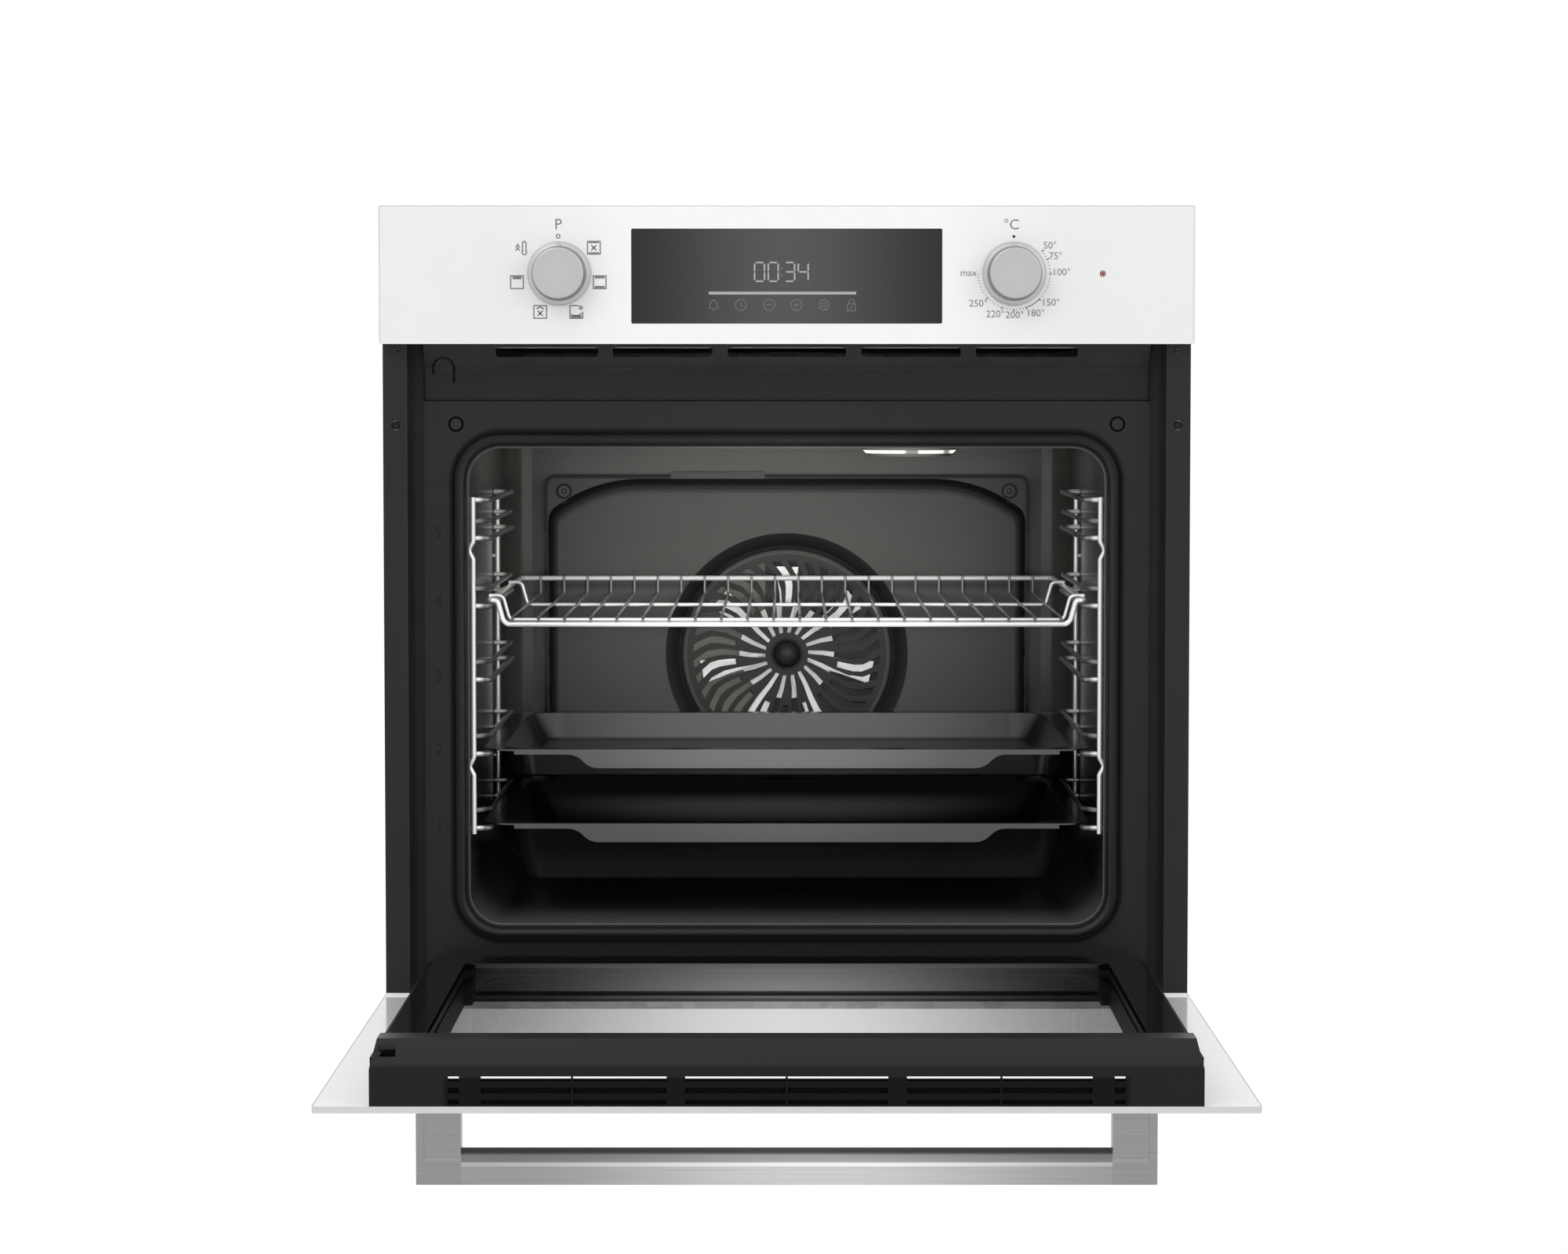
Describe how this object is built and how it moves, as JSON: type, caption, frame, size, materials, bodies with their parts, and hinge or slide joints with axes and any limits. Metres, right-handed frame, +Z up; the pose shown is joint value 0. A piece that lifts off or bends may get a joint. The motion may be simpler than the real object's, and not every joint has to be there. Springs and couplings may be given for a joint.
{
  "type": "wall oven",
  "caption": "Built-in electric wall oven with a drop-down glass door shown open, side racks, a wire rack, trays, a fan guard and a white control panel with knobs and a display.",
  "frame": {"origin": "centre of the base face that stands on the cabinet's shelf, midway between the case's sides and between its front frame and its back", "axes": "+X to the right as seen from the front, +Y to the back of the cabinet, +Z up"},
  "size_m": [0.594, 1.0199, 0.6324],
  "materials": {
    "zinc_sheet": "galvanised",
    "frame_enamel": "satin enamel",
    "cavity_enamel": "gloss enamel",
    "dark_steel": "black oxide",
    "mineral_wool": "matt",
    "seal_rubber": "matt",
    "element_steel": "oxidised",
    "motor_steel": "plain",
    "fan_steel": "bright",
    "lamp_ceramic": "glazed",
    "lamp_glass": "clear",
    "chrome_wire": "polished",
    "white_panel": "gloss white",
    "display_glass": "smoked",
    "board": "matt",
    "lens": "clear",
    "ivory_plastic": "matt",
    "white_glass": "white border, clear window",
    "clear_glass": "clear",
    "black_glass": "black border",
    "trim_plastic": "satin black",
    "profile_black": "matt black",
    "handle_steel": "brushed",
    "knob_metal": "brushed",
    "tray_enamel": "gloss black enamel"
  },
  "bodies": {
    "oven": {"base_plate": "zinc_sheet", "left_side_panel": "zinc_sheet", "right_side_panel": "zinc_sheet", "back_panel": "zinc_sheet", "top_cover": "zinc_sheet", "left_side_trim": "frame_enamel", "right_side_trim": "frame_enamel", "front_frame": "frame_enamel", "frame_screws": "dark_steel", "cavity_liner": "cavity_enamel", "insulation": "mineral_wool", "door_gasket": "seal_rubber", "fan_cover": "cavity_enamel", "fan_cover_screws": "dark_steel", "ring_heater": "element_steel", "fan_motor": "motor_steel", "grill_element": "element_steel", "bottom_element": "element_steel", "lamp_holder": "lamp_ceramic", "lamp_bulb": "lamp_glass", "lamp_cover": "lamp_glass", "left_shelf_ladder": "chrome_wire", "right_shelf_ladder": "chrome_wire", "air_duct": "zinc_sheet", "blower_housing": "zinc_sheet", "blower_motor": "motor_steel", "control_panel": "white_panel", "panel_bracket": "frame_enamel", "display_window": "display_glass", "timer_board": "board", "indicator_lens": "lens", "function_switch": "ivory_plastic", "thermostat": "motor_steel", "terminal_block": "ivory_plastic", "hinge_receivers": "zinc_sheet", "hinge_arms": "zinc_sheet"},
    "door": {"door_outer_glass": "white_glass", "door_middle_glass": "clear_glass", "door_inner_glass": "black_glass", "glass_seals": "seal_rubber", "door_top_trim": "trim_plastic", "left_door_profile": "profile_black", "right_door_profile": "profile_black", "door_bottom_rail": "profile_black", "handle_bar": "handle_steel", "left_handle_bracket": "handle_steel", "right_handle_bracket": "handle_steel", "handle_screws": "motor_steel", "hinge_cases": "zinc_sheet", "hinge_springs": "motor_steel"},
    "function_control": {"function_knob": "knob_metal", "function_shaft": "fan_steel"},
    "temperature_control": {"temperature_knob": "knob_metal", "temperature_shaft": "fan_steel"},
    "hot_air_fan": {"convection_fan": "fan_steel"},
    "cooling_wheel": {"blower_wheel": "fan_steel"},
    "rack": {"wire_rack": "chrome_wire"},
    "upper_tray": {"baking_tray": "tray_enamel"},
    "lower_tray": {"deep_tray": "tray_enamel"}
  },
  "joints": [
    {"name": "door_hinge", "type": "hinge", "parent": "oven", "child": "door", "pos_m": [0, -0.292, 0.0286], "axis": [1, 0, 0], "range_deg": [-90, 0]},
    {"name": "function_turn", "type": "hinge", "parent": "oven", "child": "function_control", "pos_m": [-0.1655, -0.3, 0.5505], "axis": [0, 1, 0], "continuous": true},
    {"name": "temperature_turn", "type": "hinge", "parent": "oven", "child": "temperature_control", "pos_m": [0.1655, -0.3, 0.5505], "axis": [0, 1, 0], "range_deg": [0, 270]},
    {"name": "hot_air_fan_spin", "type": "hinge", "parent": "oven", "child": "hot_air_fan", "pos_m": [0, 0.15, 0.245], "axis": [0, 1, 0], "continuous": true},
    {"name": "cooling_wheel_spin", "type": "hinge", "parent": "oven", "child": "cooling_wheel", "pos_m": [0, 0.09, 0.51], "axis": [0, 0, 1], "continuous": true},
    {"name": "rack_slide", "type": "slide", "parent": "oven", "child": "rack", "axis": [0, -1, 0], "range_m": [0, 0.3]},
    {"name": "upper_tray_slide", "type": "slide", "parent": "oven", "child": "upper_tray", "axis": [0, -1, 0], "range_m": [0, 0.3]},
    {"name": "lower_tray_slide", "type": "slide", "parent": "oven", "child": "lower_tray", "axis": [0, -1, 0], "range_m": [0, 0.3]}
  ]
}
